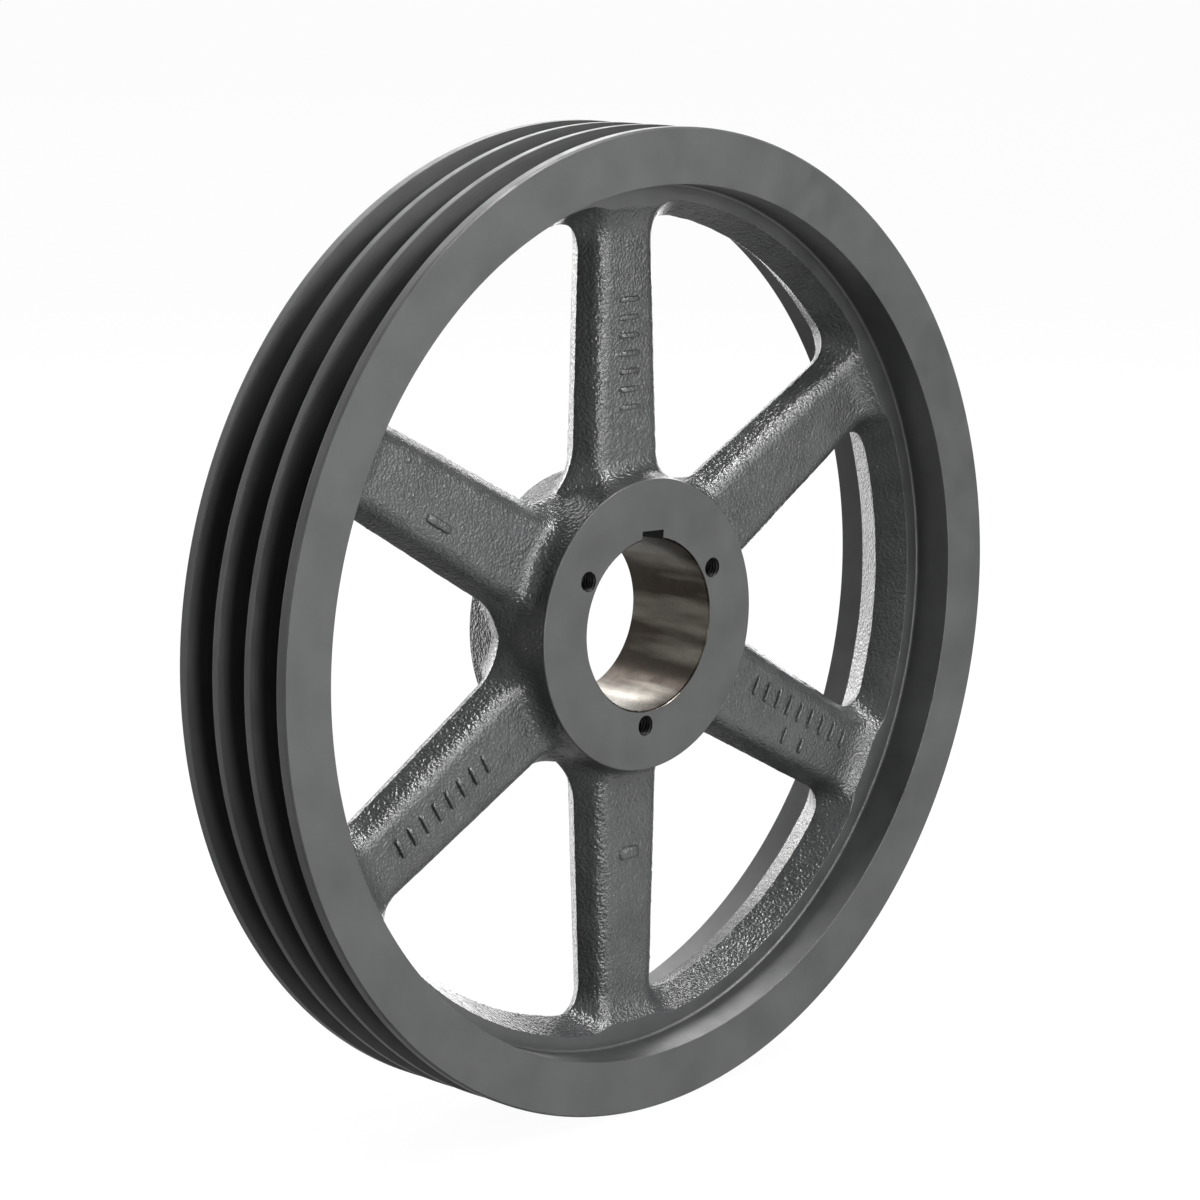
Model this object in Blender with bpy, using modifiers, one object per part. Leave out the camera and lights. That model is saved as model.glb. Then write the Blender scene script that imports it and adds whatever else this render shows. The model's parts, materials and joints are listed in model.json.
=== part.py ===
"""Three-groove B-section V-belt pulley with six arms and a tapered bushing bore.

The real pulley is one grey-iron casting, machined on its faces, grooves and bore. It is
modelled here as the regions a pattern maker names: hub, six arms, rim web, rim band and
the rings that stand between the belt grooves. Neighbours keep a hairline gap.

World frame: metres, origin at the wheel's centre, axis along Y, tapped hub face at -Y,
one arm straight up along +Z. Turned profiles are drawn as (radius, height) with height
measured from the mid-plane towards the tapped face.
"""

import math

import bmesh
import bpy
from mathutils import Matrix

MM = 0.001
INCH = 25.4 * MM

# Rim
OUTER_RADIUS = 16.35 * INCH / 2
FACE_WIDTH = 2.5 * INCH
GROOVE_COUNT = 3
GROOVE_PITCH = 0.75 * INCH
GROOVE_TOP = 16.0 * MM
GROOVE_DEPTH = 16.5 * MM
GROOVE_ANGLE = math.radians(38)
EDGE_CHAMFER = 0.8 * MM
RECESS_RADIUS = 184.2 * MM

# Web ring inside the rim, which carries the arms
WEB_HALF_WIDTH = 13.3 * MM
WEB_SHOULDER_RADIUS = 177.7 * MM
WEB_CREST_RADIUS = 171.3 * MM

# Hub
HUB_LENGTH = 1.75 * INCH
HUB_FACE_RADIUS = 61.7 * MM
HUB_PARTING_RADIUS = 64.5 * MM
BORE_RADIUS = 2.875 * INCH / 2
BORE_CHAMFER = 0.7 * MM
BORE_SLOPE = 0.375 / 12
KEYWAY_WIDTH = 0.5 * INCH
KEYWAY_TOP = 40.0 * MM
KEYWAY_ANGLE = math.radians(87)
SCREW_CIRCLE_RADIUS = 3.375 * INCH / 2
SCREW_HOLE_RADIUS = 4.1 * MM
SCREW_HOLE_DEPTH = 28.0 * MM
SCREW_ANGLES = [math.radians(27 + 120 * index) for index in range(3)]

# Arms
ARM_COUNT = 6
ARM_START_RADIUS = 50.0 * MM
ARM_END_RADIUS = 184.0 * MM
ARM_INNER_HALF_WIDTH = 22.9 * MM
ARM_OUTER_HALF_WIDTH = 19.6 * MM
ARM_INNER_HALF_DEPTH = 10.7 * MM
ARM_OUTER_HALF_DEPTH = 9.7 * MM
ARM_HUB_FILLET = 13.0 * MM
ARM_RIM_FILLET = 12.0 * MM
ARM_FACE_SHARE = 0.73
ARM_STATIONS = 20

# Modelling
GAP = 0.3 * MM
STEPS = 72
HOLE_SIDES = 24
MERGE = 1e-6

CAST_PAINT = (0.085, 0.088, 0.090)
MACHINED_PAINT = (0.105, 0.110, 0.110)
GROOVE_PAINT = (0.045, 0.046, 0.047)


def clear_scene():
    """Remove every object that the file opened with."""
    for item in list(bpy.data.objects):
        bpy.data.objects.remove(item, do_unlink=True)


def new_collection(name):
    """A collection of this name under the scene."""
    collection = bpy.data.collections.new(name)
    bpy.context.scene.collection.children.link(collection)
    return collection


def paint(name, colour, roughness, metallic=0.0):
    """A Principled material for one sub-part."""
    material = bpy.data.materials.new(name)
    material.use_nodes = True
    shader = material.node_tree.nodes["Principled BSDF"]
    shader.inputs["Base Color"].default_value = (*colour, 1.0)
    shader.inputs["Roughness"].default_value = roughness
    shader.inputs["Metallic"].default_value = metallic
    return material


def add_object(name, mesh, collection, material=None):
    """Put a mesh in a collection as a named object."""
    item = bpy.data.objects.new(name, mesh)
    collection.objects.link(item)
    if material:
        mesh.materials.append(material)
    return item


def as_cutter(item):
    """Keep an object out of the render: it only shapes others."""
    item.hide_render = True
    item.display_type = "WIRE"
    return item


def turned(name, profile, collection, material=None):
    """A ring turned about the wheel's axis from a closed (radius, height) outline.

    The outline runs down its outer side and back up its inner side.
    """
    mesh = bpy.data.meshes.new(name)
    points = [(radius, 0.0, height) for radius, height in profile]
    edges = [(index, (index + 1) % len(points)) for index in range(len(points))]
    mesh.from_pydata(points, edges, [])
    item = add_object(name, mesh, collection, material)
    # Local +Z, the profile's height, becomes world -Y, the tapped side.
    item.rotation_euler = (math.pi / 2, 0.0, 0.0)
    screw = item.modifiers.new("turn", "SCREW")
    screw.axis = "Z"
    screw.steps = STEPS
    screw.render_steps = STEPS
    screw.use_merge_vertices = True
    screw.merge_threshold = MERGE
    screw.use_smooth_shade = True
    return item


def cut(item, cutter, operation="DIFFERENCE"):
    """Add an exact Boolean with this cutter."""
    boolean = item.modifiers.new(cutter.name, "BOOLEAN")
    boolean.operation = operation
    boolean.solver = "EXACT"
    boolean.object = cutter


def flank(depth):
    """Axial distance that a groove's side moves over this depth."""
    return depth * math.tan(GROOVE_ANGLE / 2)


def make_rim_band(parts):
    """The plain band under the grooves, open to the recess on both sides."""
    outer = OUTER_RADIUS - GROOVE_DEPTH
    half = FACE_WIDTH / 2
    profile = [
        (outer, half),
        (outer, -half),
        (RECESS_RADIUS, -half),
        (RECESS_RADIUS, half),
    ]
    turned("rim_band", profile, parts, paint("rim_band_paint", MACHINED_PAINT, 0.42))


def make_groove_rings(parts):
    """The two edge flanges and the ridges between neighbouring grooves."""
    top = OUTER_RADIUS
    base = OUTER_RADIUS - GROOVE_DEPTH + GAP
    lean = flank(top - base)
    outer_groove = GROOVE_PITCH * (GROOVE_COUNT - 1) / 2
    land = outer_groove + GROOVE_TOP / 2
    half = FACE_WIDTH / 2

    front = [
        (top - EDGE_CHAMFER, half),
        (top, half - EDGE_CHAMFER),
        (top, land),
        (base, land - lean),
        (base, half),
    ]
    back = [(radius, -height) for radius, height in reversed(front)]
    turned("front_flange", front, parts, paint("front_flange_paint", MACHINED_PAINT, 0.42))
    turned("back_flange", back, parts, paint("back_flange_paint", MACHINED_PAINT, 0.42))

    half_top = (GROOVE_PITCH - GROOVE_TOP) / 2
    for index in range(GROOVE_COUNT - 1):
        centre = outer_groove - GROOVE_PITCH * (index + 0.5)
        ridge = [
            (top, centre + half_top),
            (top, centre - half_top),
            (base, centre - half_top - lean),
            (base, centre + half_top + lean),
        ]
        name = f"groove_ridge_{index + 1}"
        turned(name, ridge, parts, paint(f"{name}_paint", GROOVE_PAINT, 0.5))


def make_rim_web(parts):
    """The cast ring inside the rim: flat machined shoulders and a crest at mid-plane."""
    outer = RECESS_RADIUS - GAP
    profile = [
        (outer, WEB_HALF_WIDTH),
        (outer, -WEB_HALF_WIDTH),
        (WEB_SHOULDER_RADIUS, -WEB_HALF_WIDTH),
        (WEB_CREST_RADIUS, 0.0),
        (WEB_SHOULDER_RADIUS, WEB_HALF_WIDTH),
    ]
    turned("rim_web", profile, parts, paint("rim_web_paint", CAST_PAINT, 0.36))


def barrel_radius(height):
    """Radius of the hub's drafted outside at a height from the mid-plane."""
    draft = HUB_PARTING_RADIUS - HUB_FACE_RADIUS
    return HUB_PARTING_RADIUS - draft * abs(height) / (HUB_LENGTH / 2)


def bore_radius(height):
    """Radius of the tapered bore, widest at the tapped face."""
    return BORE_RADIUS - BORE_SLOPE * (HUB_LENGTH / 2 - height)


def on_circle(radius, angle, forward):
    """World point at an angle from +X towards +Z, this far towards the tapped side."""
    return (radius * math.cos(angle), -forward, radius * math.sin(angle))


def keyway_cutter(cutters):
    """A bar along the bore's whole length, standing out of its wall."""
    length = HUB_LENGTH + 20 * MM
    floor = BORE_RADIUS * 0.6
    height = KEYWAY_TOP - floor
    bpy.ops.mesh.primitive_cube_add(size=1.0)
    item = bpy.context.object
    item.name = "keyway_cutter"
    item.scale = (height, length, KEYWAY_WIDTH)
    item.location = on_circle(floor + height / 2, KEYWAY_ANGLE, 0.0)
    item.rotation_euler = (0.0, -KEYWAY_ANGLE, 0.0)
    bpy.ops.object.transform_apply(location=False, rotation=False, scale=True)
    move_to(item, cutters)
    return as_cutter(item)


def screw_hole_cutter(index, angle, cutters):
    """A drill for one tapped hole, entering from the tapped face."""
    stand_out = 5 * MM
    depth = SCREW_HOLE_DEPTH + stand_out
    centre = HUB_LENGTH / 2 + stand_out - depth / 2
    bpy.ops.mesh.primitive_cylinder_add(
        vertices=HOLE_SIDES,
        radius=SCREW_HOLE_RADIUS,
        depth=depth,
        location=on_circle(SCREW_CIRCLE_RADIUS, angle, centre),
        rotation=(math.pi / 2, 0.0, 0.0),
    )
    item = bpy.context.object
    item.name = f"screw_hole_cutter_{index}"
    move_to(item, cutters)
    return as_cutter(item)


def move_to(item, collection):
    """Move an object made by an operator into a collection."""
    for old in list(item.users_collection):
        old.objects.unlink(item)
    collection.objects.link(item)


def make_hub(parts, cutters):
    """The hub: drafted barrel, tapered bore, keyway and three tapped holes."""
    half = HUB_LENGTH / 2
    profile = [
        (HUB_FACE_RADIUS, half),
        (HUB_PARTING_RADIUS, 0.0),
        (HUB_FACE_RADIUS, -half),
        (bore_radius(-half) + BORE_CHAMFER, -half),
        (bore_radius(-half + BORE_CHAMFER), -half + BORE_CHAMFER),
        (bore_radius(half - BORE_CHAMFER), half - BORE_CHAMFER),
        (bore_radius(half) + BORE_CHAMFER, half),
    ]
    hub = turned("hub", profile, parts, paint("hub_paint", MACHINED_PAINT, 0.42))
    cut(hub, keyway_cutter(cutters))
    for index, angle in enumerate(SCREW_ANGLES, start=1):
        cut(hub, screw_hole_cutter(index, angle, cutters))


def blend_share(distance, reach):
    """How far a fillet has risen, from 0 at its far end to 1 where it meets the wall."""
    left = min(max(distance / reach, 0.0), 1.0)
    return 1.0 - math.sqrt(1.0 - (1.0 - left) ** 2)


def arm_half_sizes(radius):
    """Half-width at the parting plane and half-depth of an arm at this radius."""
    start = HUB_PARTING_RADIUS
    end = WEB_CREST_RADIUS
    share = (radius - start) / (end - start)
    at_hub = blend_share(radius - start, ARM_HUB_FILLET)
    at_rim = blend_share(end - 2.0 * MM - radius, ARM_RIM_FILLET)
    half_width = ARM_INNER_HALF_WIDTH + share * (ARM_OUTER_HALF_WIDTH - ARM_INNER_HALF_WIDTH)
    half_depth = ARM_INNER_HALF_DEPTH + share * (ARM_OUTER_HALF_DEPTH - ARM_INNER_HALF_DEPTH)
    half_width += 0.55 * ARM_HUB_FILLET * at_hub + ARM_RIM_FILLET * at_rim
    room = WEB_HALF_WIDTH - GAP - half_depth
    half_depth += room * max(at_hub, at_rim)
    return half_width, half_depth


def arm_section(half_width, half_depth):
    """Rounded six-sided outline (across, height), widest at the parting plane."""
    face = ARM_FACE_SHARE * half_width
    quarter = [
        (face + 0.38 * (half_width - face), 0.62 * half_depth),
        (face - 0.3 * MM, 0.88 * half_depth),
        (face - 4.0 * MM, half_depth),
    ]
    top = [(half_width, 0.0)] + quarter + [(-across, height) for across, height in reversed(quarter)]
    bottom = [(-across, -height) for across, height in top]
    return top + bottom


def arm_mesh():
    """A loft of sections along +X, from inside the hub to inside the web."""
    mesh = bpy.data.meshes.new("arm")
    work = bmesh.new()
    rings = []
    for station in range(ARM_STATIONS + 1):
        share = station / ARM_STATIONS
        # Stations crowd towards both ends, where the fillets are.
        eased = 0.5 - 0.5 * math.cos(math.pi * share)
        radius = ARM_START_RADIUS + eased * (ARM_END_RADIUS - ARM_START_RADIUS)
        section = arm_section(*arm_half_sizes(radius))
        rings.append([work.verts.new((radius, -height, across)) for across, height in section])
    for low, high in zip(rings, rings[1:]):
        for index in range(len(low)):
            after = (index + 1) % len(low)
            work.faces.new((low[index], low[after], high[after], high[index]))
    work.faces.new(rings[0])
    work.faces.new(rings[-1])
    bmesh.ops.recalc_face_normals(work, faces=work.faces)
    work.to_mesh(mesh)
    work.free()
    mesh.shade_smooth()
    mesh.set_sharp_from_angle(angle=math.radians(35))
    return mesh


def make_arm_envelope(cutters):
    """The turned space between the hub's barrel and the web, which bounds every arm."""
    half = WEB_HALF_WIDTH
    profile = [
        (WEB_SHOULDER_RADIUS - GAP, half),
        (WEB_CREST_RADIUS - GAP, 0.0),
        (WEB_SHOULDER_RADIUS - GAP, -half),
        (barrel_radius(half) + GAP, -half),
        (HUB_PARTING_RADIUS + GAP, 0.0),
        (barrel_radius(half) + GAP, half),
    ]
    return as_cutter(turned("arm_envelope", profile, cutters))


def make_arms(parts, cutters):
    """Six like arms, the first straight up and the rest in turn about the axis."""
    envelope = make_arm_envelope(cutters)
    shared = arm_mesh()
    for index in range(ARM_COUNT):
        name = f"arm_{index + 1}"
        arm = add_object(name, shared.copy(), parts, paint(f"{name}_paint", CAST_PAINT, 0.36))
        angle = math.pi / 2 - math.tau * index / ARM_COUNT
        arm.matrix_world = Matrix.Rotation(-angle, 4, "Y")
        cut(arm, envelope, "INTERSECT")


def main():
    """Build every sub-part of the pulley."""
    clear_scene()
    parts = new_collection("v_belt_pulley")
    cutters = new_collection("cutters")
    make_rim_band(parts)
    make_groove_rings(parts)
    make_rim_web(parts)
    make_hub(parts, cutters)
    make_arms(parts, cutters)


main()
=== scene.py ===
"""How the three-groove V-belt pulley looks: cast six-arm spider, turned rim and hub, bare bore.

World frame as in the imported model: the wheel's centre at the origin, its axis along Y, the
tapped hub face towards -Y and one arm straight up along +Z. Every shape is a surface of two
parameters worked out with numpy in millimetres, and becomes metres when its mesh is made.
"""

import json
import logging
import math
from collections.abc import Sequence
from dataclasses import dataclass
from enum import Enum

import bpy
import numpy as np
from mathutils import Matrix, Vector

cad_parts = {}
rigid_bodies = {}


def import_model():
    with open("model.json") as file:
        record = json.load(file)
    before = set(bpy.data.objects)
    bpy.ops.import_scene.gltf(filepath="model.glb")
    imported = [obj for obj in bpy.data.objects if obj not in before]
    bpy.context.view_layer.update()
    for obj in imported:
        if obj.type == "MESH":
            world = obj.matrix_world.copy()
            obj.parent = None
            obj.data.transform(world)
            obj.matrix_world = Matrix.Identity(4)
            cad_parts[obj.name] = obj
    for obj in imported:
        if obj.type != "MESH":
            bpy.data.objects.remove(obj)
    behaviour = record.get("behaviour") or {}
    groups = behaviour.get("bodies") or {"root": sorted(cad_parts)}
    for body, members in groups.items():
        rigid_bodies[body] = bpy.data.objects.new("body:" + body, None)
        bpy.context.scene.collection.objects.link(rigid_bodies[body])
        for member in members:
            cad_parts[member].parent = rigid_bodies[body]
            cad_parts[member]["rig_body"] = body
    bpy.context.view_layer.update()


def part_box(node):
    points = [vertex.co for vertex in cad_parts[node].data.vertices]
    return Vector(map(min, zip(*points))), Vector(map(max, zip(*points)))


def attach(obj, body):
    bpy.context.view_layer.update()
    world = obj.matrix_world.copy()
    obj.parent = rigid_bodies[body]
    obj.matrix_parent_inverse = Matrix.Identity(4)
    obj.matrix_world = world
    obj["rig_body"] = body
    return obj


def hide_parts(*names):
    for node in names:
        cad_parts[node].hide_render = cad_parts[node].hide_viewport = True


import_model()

Array = np.ndarray
Socket = bpy.types.NodeSocket
Colour = tuple[float, float, float, float]

LOG = logging.getLogger("pulley")
METRES = 0.001
BODY = "root"
ARM_COUNT = 6
CAD_GAP = 0.3
SAME_PLACE = 1e-4
BISECTIONS = 40
TINY = 1e-12
WORD = np.int64(0xFFFFFFFF)
SALT_STEP = 2654435761
CELL_PRIMES = (73856093, 19349663, 83492791)
MIXERS = ((15, 2246822519), (13, 3266489917))
KEY_SIDE = 9
KEY_TOP = 17
AXIS = np.array([0.0, 1.0, 0.0])
OUT_OF_TAPPED_SIDE = -AXIS


class Side(Enum):
    """A face of the wheel; the value is the sign of world Y that it looks towards."""

    TAPPED = -1
    PLAIN = 1


# ---------------------------------------------------------------- shared geometry


@dataclass
class Sheet:
    """Points with outward normals, the quads that join them and each quad's finish."""

    points: Array
    normals: Array
    quads: Array
    slots: Array

    def facing_out(self) -> "Sheet":
        """Turn round every quad that faces against its points' normals.

        Returns:
            The same sheet with all quads facing out.
        """
        corners = self.points[self.quads]
        facing = np.cross(corners[:, 2] - corners[:, 0], corners[:, 3] - corners[:, 1])
        wanted = self.normals[self.quads].sum(axis=1)
        wrong = np.einsum("ij,ij->i", facing, wanted) < 0
        self.quads[wrong] = self.quads[wrong][:, ::-1]
        return self


def grid_quads(rows: int, columns: int, closed: bool = False) -> Array:
    """Quads of a rows x columns grid of points numbered along its rows.

    Args:
        rows: Points from the first edge to the last.
        columns: Points along each row.
        closed: Whether each row's last point joins its first.

    Returns:
        Point numbers, four to a quad.
    """
    across = columns if closed else columns - 1
    row, column = np.meshgrid(np.arange(rows - 1), np.arange(across), indexing="ij")
    after = (column + 1) % columns
    corners = (row * columns + column, row * columns + after)
    above = ((row + 1) * columns + after, (row + 1) * columns + column)
    return np.stack([*corners, *above], axis=-1).reshape(-1, 4)


def stacked(sheets: Sequence[Sheet]) -> Sheet:
    """Several separate sheets as one, with no points shared.

    Args:
        sheets: The sheets.

    Returns:
        One sheet, with its quads renumbered.
    """
    offsets = np.cumsum([0] + [len(sheet.points) for sheet in sheets[:-1]])
    return Sheet(
        np.concatenate([s.points for s in sheets]),
        np.concatenate([s.normals for s in sheets]),
        np.concatenate([s.quads + o for s, o in zip(sheets, offsets)]),
        np.concatenate([s.slots for s in sheets]),
    )


def joined(sheets: Sequence[Sheet]) -> Sheet:
    """One sheet of several, with points that coincide made one.

    Args:
        sheets: Sheets whose shared edges hold the same points.

    Returns:
        The joined sheet, in which a shared point keeps the sum of its normals.
    """
    whole = stacked(sheets)
    keys = np.round(whole.points / SAME_PLACE).astype(np.int64)
    _, first, index = np.unique(keys, axis=0, return_index=True, return_inverse=True)
    index = index.reshape(-1)
    summed = np.zeros((len(first), 3))
    np.add.at(summed, index, whole.normals)
    return Sheet(whole.points[first], summed, index[whole.quads], whole.slots)


def spokes(angle: Array) -> Array:
    """Unit vectors in the wheel's plane at these angles from +X towards +Z."""
    return np.stack([np.cos(angle), np.zeros_like(angle), np.sin(angle)], -1)


def carried(pairs: Array, spoke: Array, axis: Array = AXIS) -> Array:
    """Carry (out, along) pairs round: out times each spoke plus along times the axis."""
    return pairs[:, 0, None, None] * spoke + pairs[:, 1, None, None] * axis


def grid_sheet(points: Array, normals: Array, closed: bool = False, slot: int = 0) -> Sheet:
    """A sheet from a grid of points.

    Args:
        points: rows x columns x 3, in millimetres.
        normals: Outward directions, of a shape that broadcasts to that of points.
        closed: Whether each row's last point joins its first.
        slot: The finish of all its quads.

    Returns:
        The sheet, with its quads facing out.
    """
    rows, columns = points.shape[:2]
    quads = grid_quads(rows, columns, closed)
    full = np.broadcast_to(normals, points.shape).reshape(-1, 3)
    slots = np.full(len(quads), slot)
    return Sheet(points.reshape(-1, 3), full.copy(), quads, slots).facing_out()


def rounded_path(corners: Array, radii: Sequence[float], steps: int = 5) -> tuple[Array, Array]:
    """A path whose inner corners are arcs that touch both their legs.

    A corner of turn t and radius r begins r tan(t/2) before it and ends as far after it. Along
    the arc the heading runs evenly from one leg's to the next's, and each point lies r from
    the arc's centre, square to the heading.

    Args:
        corners: n x 2 corner points.
        radii: One radius for each of the n - 2 inner corners.
        steps: Chords in each arc.

    Returns:
        The points, and the unit normals to the left of the direction of travel.
    """
    legs = np.diff(corners, axis=0)
    heading = np.unwrap(np.arctan2(legs[:, 1], legs[:, 0]))
    turn = np.diff(heading)
    radius = np.asarray(radii, float)
    ahead = np.stack([np.cos(heading), np.sin(heading)], -1)
    start = corners[1:-1] - (radius * np.abs(np.tan(turn / 2)))[:, None] * ahead[:-1]
    lever = (np.sign(turn) * radius)[:, None]
    left = np.stack([-ahead[:, 1], ahead[:, 0]], -1)
    centre = start + lever * left[:-1]
    angle = heading[:-1, None] + turn[:, None] * np.linspace(0.0, 1.0, steps + 1)
    normals = np.stack([-np.sin(angle), np.cos(angle)], -1)
    points = centre[:, None] - lever[:, None] * normals
    path = np.concatenate([corners[:1], points.reshape(-1, 2), corners[-1:]])
    return path, np.concatenate([left[:1], normals.reshape(-1, 2), left[-1:]])


def turned(path: Array, normals: Array, count: int, slots: Array | None = None) -> Sheet:
    """A ring turned about the axis from a path of (radius, y).

    The point at path place (r, y) and angle a is (r cos a, y, r sin a), and its normal is the
    path's own normal carried round with it.

    Args:
        path: n x 2 points.
        normals: Their outward unit normals in the same plane.
        count: Steps round the axis.
        slots: The finish of each of the n - 1 bands, all 0 if left out.

    Returns:
        The closed ring.
    """
    spoke = spokes(np.arange(count) * (math.tau / count))
    sheet = grid_sheet(carried(path, spoke), carried(normals, spoke), closed=True)
    if slots is not None:
        sheet.slots = np.repeat(slots, count)
    return sheet


def make_piece(name: str, sheet: Sheet, finishes: Sequence["Finish"]) -> bpy.types.Object:
    """Make a named object of a sheet, in metres, shaded by the sheet's own normals.

    Args:
        name: The object's name.
        sheet: Its surface, in millimetres.
        finishes: The finishes that the sheet's slots number.

    Returns:
        The object, riding on the wheel's body.
    """
    mesh = bpy.data.meshes.new(name)
    mesh.vertices.add(len(sheet.points))
    mesh.vertices.foreach_set("co", (sheet.points * METRES).astype(np.float32).ravel())
    mesh.loops.add(sheet.quads.size)
    mesh.loops.foreach_set("vertex_index", sheet.quads.astype(np.int32).ravel())
    mesh.polygons.add(len(sheet.quads))
    starts = np.arange(0, sheet.quads.size, 4, dtype=np.int32)
    mesh.polygons.foreach_set("loop_start", starts)
    mesh.polygons.foreach_set("material_index", sheet.slots.astype(np.int32))
    mesh.update(calc_edges=True)
    mesh.shade_smooth()
    lengths = np.linalg.norm(sheet.normals, axis=1, keepdims=True)
    mesh.normals_split_custom_set_from_vertices(sheet.normals / np.maximum(lengths, TINY))
    for finish in finishes:
        mesh.materials.append(finish.material())
    piece = bpy.data.objects.new(name, mesh)
    bpy.context.scene.collection.objects.link(piece)
    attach(piece, BODY)
    LOG.info("%s: %d quads", name, len(sheet.quads))
    return piece


def soft_min(first: Array, second: Array, reach: Array | float) -> Array:
    """The smaller of two distances, rounded over where they differ by less than reach.

    With h = 1/2 + (second - first) / (2 reach), held between 0 and 1, it is
    h first + (1 - h) second - reach h (1 - h).
    """
    share = np.clip(0.5 + 0.5 * (second - first) / reach, 0.0, 1.0)
    return second + (first - second) * share - reach * share * (1.0 - share)


def soft_max(first: Array, second: Array, reach: float) -> Array:
    """The larger of two distances, rounded in the same way as soft_min."""
    return -soft_min(-first, -second, reach)


def eased(low: float, high: float, value: Array) -> Array:
    """0 below low, 1 above high and 3t^2 - 2t^3 between them."""
    share = np.clip((value - low) / (high - low), 0.0, 1.0)
    return share * share * (3.0 - 2.0 * share)


def lattice_value(cell: Array, salt: int) -> Array:
    """A fixed number for each cell, scrambled by multiply and shift.

    Args:
        cell: Whole-number places, ... x 3.
        salt: Picks one set of numbers of many.

    Returns:
        Numbers from -1 to 1.
    """
    mixed = np.int64(salt * SALT_STEP)
    for axis, prime in enumerate(CELL_PRIMES):
        mixed = mixed ^ cell[..., axis] * np.int64(prime)
    mixed = mixed & WORD
    for shift, factor in MIXERS:
        mixed = ((mixed ^ (mixed >> shift)) * np.int64(factor)) & WORD
    return (mixed ^ (mixed >> 16)) / float(0x7FFFFFFF) - 1.0


def grain(points: Array, size: float, salt: int) -> Array:
    """Smooth gradient noise, about -1 to 1, with bumps of this size.

    Each corner of a point's lattice cell holds a fixed slope. The noise is the sum over the
    eight corners of slope times offset, weighted by 6t^5 - 15t^4 + 10t^3 along each axis.

    Args:
        points: Places in millimetres, ... x 3.
        size: The lattice's cell, in millimetres.
        salt: Picks one pattern of many.

    Returns:
        One value for each point.
    """
    place = points / size
    cell = np.floor(place).astype(np.int64)
    part = place - cell
    fade = part**3 * (part * (part * 6.0 - 15.0) + 10.0)
    total = np.zeros(points.shape[:-1])
    for corner in np.ndindex(2, 2, 2):
        step = np.array(corner)
        offset = part - step
        weight = np.prod(np.where(step == 1, fade, 1.0 - fade), axis=-1)
        slope = sum(
            lattice_value(cell + step, salt * 7 + axis) * offset[..., axis] for axis in range(3)
        )
        total += weight * slope
    return total * 1.6


# ---------------------------------------------------------------- finishes


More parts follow.
